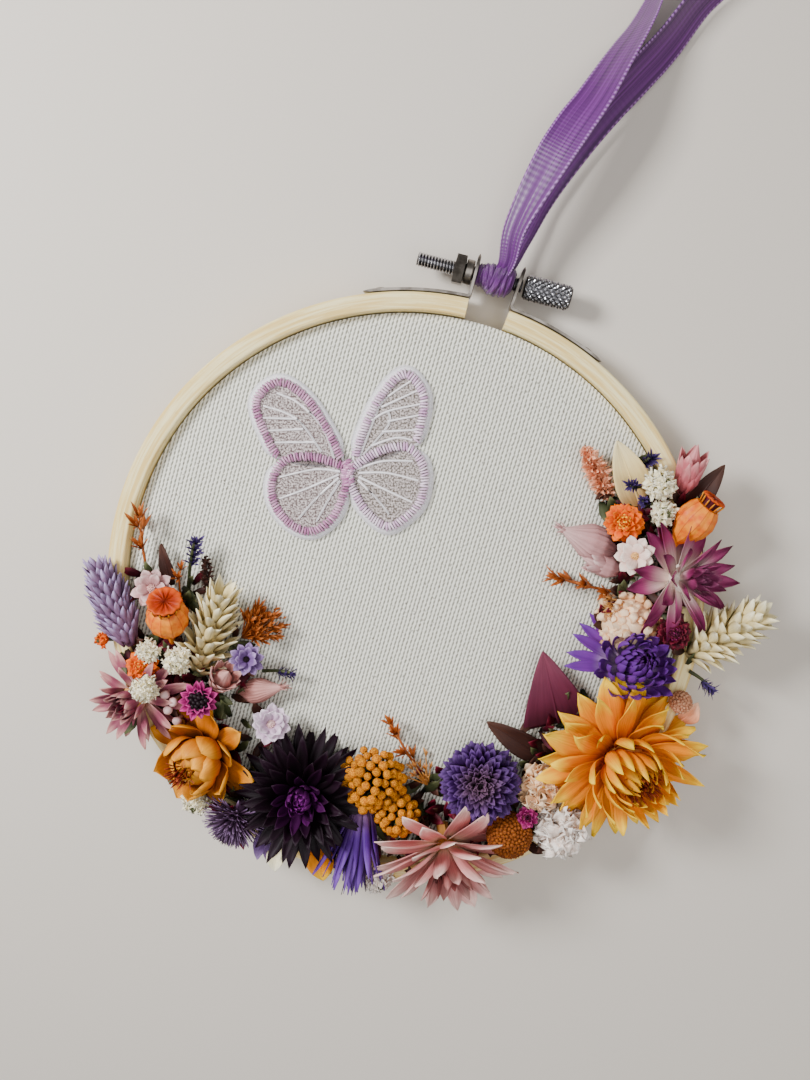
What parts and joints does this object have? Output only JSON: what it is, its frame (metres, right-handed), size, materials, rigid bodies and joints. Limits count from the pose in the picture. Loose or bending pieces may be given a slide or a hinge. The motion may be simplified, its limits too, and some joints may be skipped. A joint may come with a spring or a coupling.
{
  "type": "hoop embroidery: cloth stretched in a wooden embroidery hoop, with dried flowers and a ribbon loop",
  "caption": "Round wooden embroidery hoop holding stretched canvas with a stitched butterfly applique, a crescent of dried flowers along the rim and a ribbon loop on the tightening screw.",
  "frame": {"origin": "under the middle of the whole piece, hoop and ribbon together, at the height of the inner ring's underside", "axes": "+Z out of the face of the cloth, +Y from the flowers at the bottom of the hoop to the screw and the ribbon at its top, +X to the right of someone who faces the cloth"},
  "size_m": [0.1722, 0.2488, 0.0291],
  "materials": {
    "beech": "pale bare beech, lightly sanded",
    "duck": "unbleached plain-weave canvas",
    "thread": "satin-stitched thread on sheer organza",
    "steel": "plated sheet steel",
    "nickel": "bright nickel plate",
    "satin": "purple satin ribbon",
    "orange": "dry papery petals",
    "gold": "dry papery petals",
    "mauve": "dry papery petals",
    "plum": "dry papery petals",
    "violet": "dry papery petals",
    "blue": "dry papery petals",
    "pink": "dry papery petals",
    "magenta": "dry papery petals",
    "white": "fluffy dry florets",
    "cream": "dry overlapping seed bracts",
    "lilac": "dyed dry seed bracts and petals",
    "rust": "dry feathery sprigs",
    "blush": "dry pods and plumes",
    "grey": "dry thistle bristles",
    "yellow": "round dry florets",
    "wine": "dry leaves and berries"
  },
  "bodies": {
    "root": {"outer_ring": "beech", "inner_ring": "beech", "canvas": "duck", "butterfly": "thread", "bracket_left": "steel", "bracket_right": "steel", "nut": "steel", "screw": "nickel", "ribbon": "satin", "strawflower_orange": "orange", "strawflower_mauve": "mauve", "tuft_white_upper": "white", "tuft_white_inner": "white", "tuft_white_lower": "white", "button_orange_left": "orange", "poppy_left": "orange", "daisy_pink": "pink", "canary_lilac": "lilac", "canary_cream_left": "cream", "sprig_left": "rust", "lavender_left": "violet", "spray_rust": "rust", "daisy_violet": "lilac", "bud_open": "blush", "bud_striated": "blush", "daisy_magenta": "magenta", "daisy_lilac": "lilac", "strawflower_plum": "plum", "thistle_grey": "grey", "tansy": "yellow", "sprig_bottom": "rust", "strawflower_violet_low": "violet", "strawflower_pink": "pink", "strawflower_blue": "blue", "ball_gold": "gold", "bud_magenta": "magenta", "fluff_blush": "blush", "fluff_white": "white", "leaf_plum": "wine", "leaf_brown": "wine", "strawflower_gold": "gold", "strawflower_violet": "violet", "canary_cream_right": "cream", "berries": "wine", "statice": "blush", "strawflower_magenta": "magenta", "daisy_cream": "white", "button_orange_right": "orange", "tuft_white_high": "white", "tuft_white_low": "white", "poppy_right": "orange", "bud_striped": "blush", "sprig_right": "rust", "plume_peach": "blush", "leaf_blush": "blush", "lavender_right": "violet", "bud_pink_right": "pink", "leaf_dark": "wine"}
  },
  "joints": []
}
